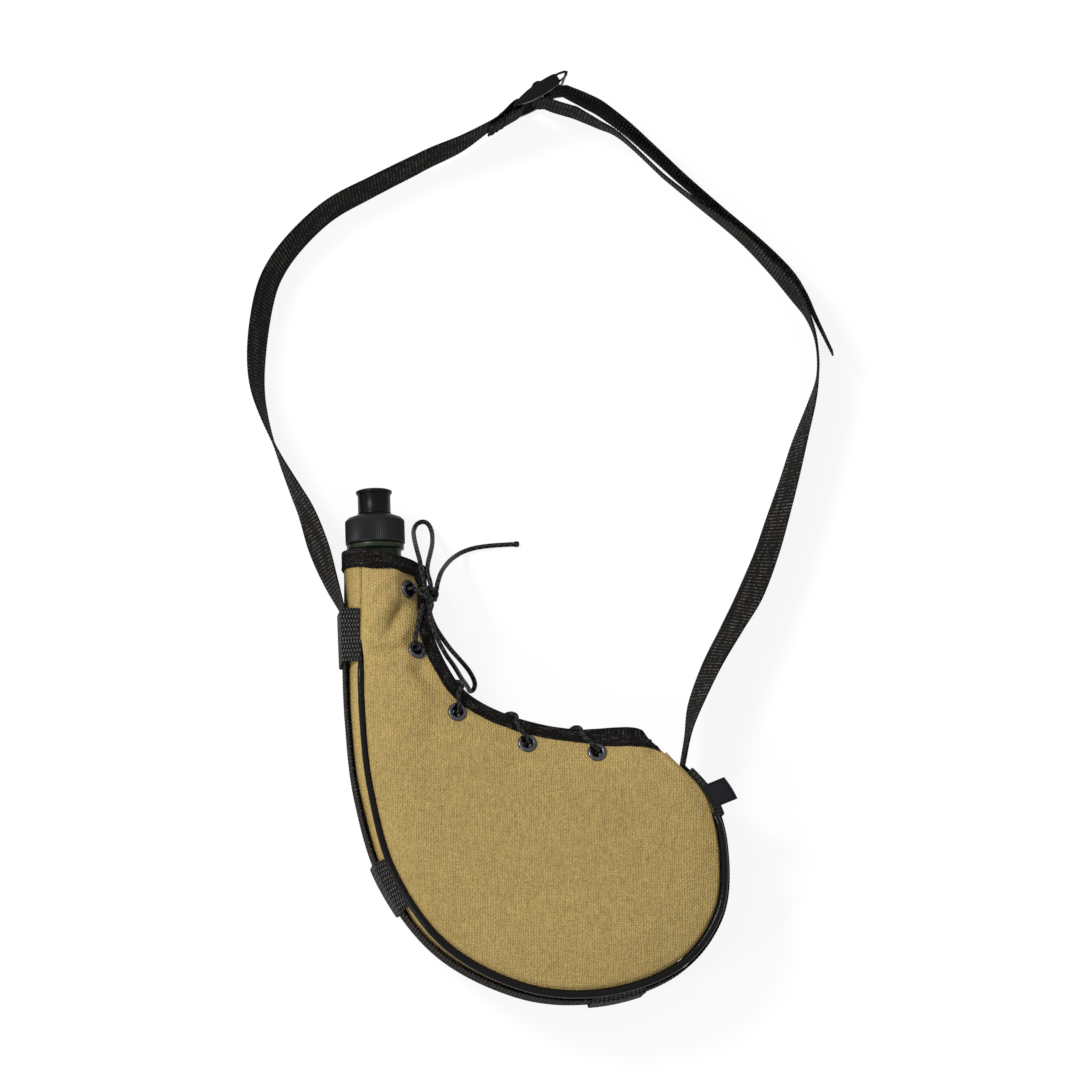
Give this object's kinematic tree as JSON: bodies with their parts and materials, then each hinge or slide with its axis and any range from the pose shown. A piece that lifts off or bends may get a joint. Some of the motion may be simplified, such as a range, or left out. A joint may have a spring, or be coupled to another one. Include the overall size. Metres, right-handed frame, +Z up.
{
  "type": "bota bag",
  "caption": "Curved drinking bag: a plastic bottle in a laced canvas cover, with a screw cap, a push-pull spout and an adjustable webbing strap.",
  "frame": {"origin": "middle of the rear panel's flat underside, on the table it lies on", "axes": "+Z up through the front panel, +Y from the belly towards the cap and the strap's buckle, +X to the right seen from the front"},
  "size_m": [0.2998, 0.4726, 0.048],
  "materials": {
    "canvas": "matt khaki cotton canvas, fine upright weave",
    "tape": "matt black knitted tape",
    "webbing": "black ribbed webbing",
    "lace": "black braided round lace",
    "label": "black woven tab, blank",
    "piping": "glossy black cord piping",
    "eyelet": "black metal eyelets and washers",
    "bottle": "dark green blow-moulded plastic",
    "cap": "black moulded plastic, finely ribbed",
    "spout": "black moulded plastic",
    "seal": "pale sealing ring",
    "buckle": "black moulded plastic"
  },
  "bodies": {
    "bag": {"binding_front": "tape", "binding_rear": "tape", "bottle": "bottle", "buckle": "buckle", "cover_front": "canvas", "cover_rear": "canvas", "eyelet_front_1": "eyelet", "eyelet_front_2": "eyelet", "eyelet_front_3": "eyelet", "eyelet_front_4": "eyelet", "eyelet_front_5": "eyelet", "eyelet_rear_1": "eyelet", "eyelet_rear_2": "eyelet", "eyelet_rear_3": "eyelet", "eyelet_rear_4": "eyelet", "eyelet_rear_5": "eyelet", "gusset": "canvas", "keeper_1": "webbing", "keeper_2": "webbing", "keeper_3": "webbing", "keeper_4": "webbing", "label_tab": "label", "lace_knot": "lace", "lace_loop_down": "lace", "lace_loop_up": "lace", "lace_tail": "lace", "lacing": "lace", "mouth_binding": "tape", "piping_front": "piping", "piping_rear": "piping", "strap": "webbing", "washer_front_1": "eyelet", "washer_front_2": "eyelet", "washer_front_3": "eyelet", "washer_front_4": "eyelet", "washer_front_5": "eyelet", "washer_rear_1": "eyelet", "washer_rear_2": "eyelet", "washer_rear_3": "eyelet", "washer_rear_4": "eyelet", "washer_rear_5": "eyelet"},
    "seal": {"cap_seal": "seal"},
    "cap": {"cap": "cap"},
    "spout": {"spout": "spout"}
  },
  "joints": [
    {"name": "cap_rise", "type": "slide", "parent": "bag", "child": "seal", "axis": [-0.0332, 0.9995, 0], "range_m": [0, 0.00636]},
    {"name": "cap_turn", "type": "hinge", "parent": "seal", "child": "cap", "pos_m": [-0.0847, 0.157, 0.024], "axis": [-0.0332, 0.9995, 0], "range_deg": [0, 720]},
    {"name": "spout_pull", "type": "slide", "parent": "cap", "child": "spout", "axis": [-0.0332, 0.9995, 0], "range_m": [0, 0.0045]}
  ],
  "couplings": [
    {"joint": "cap_rise", "follows": "cap_turn", "m_per_rad": 0.00050611}
  ]
}
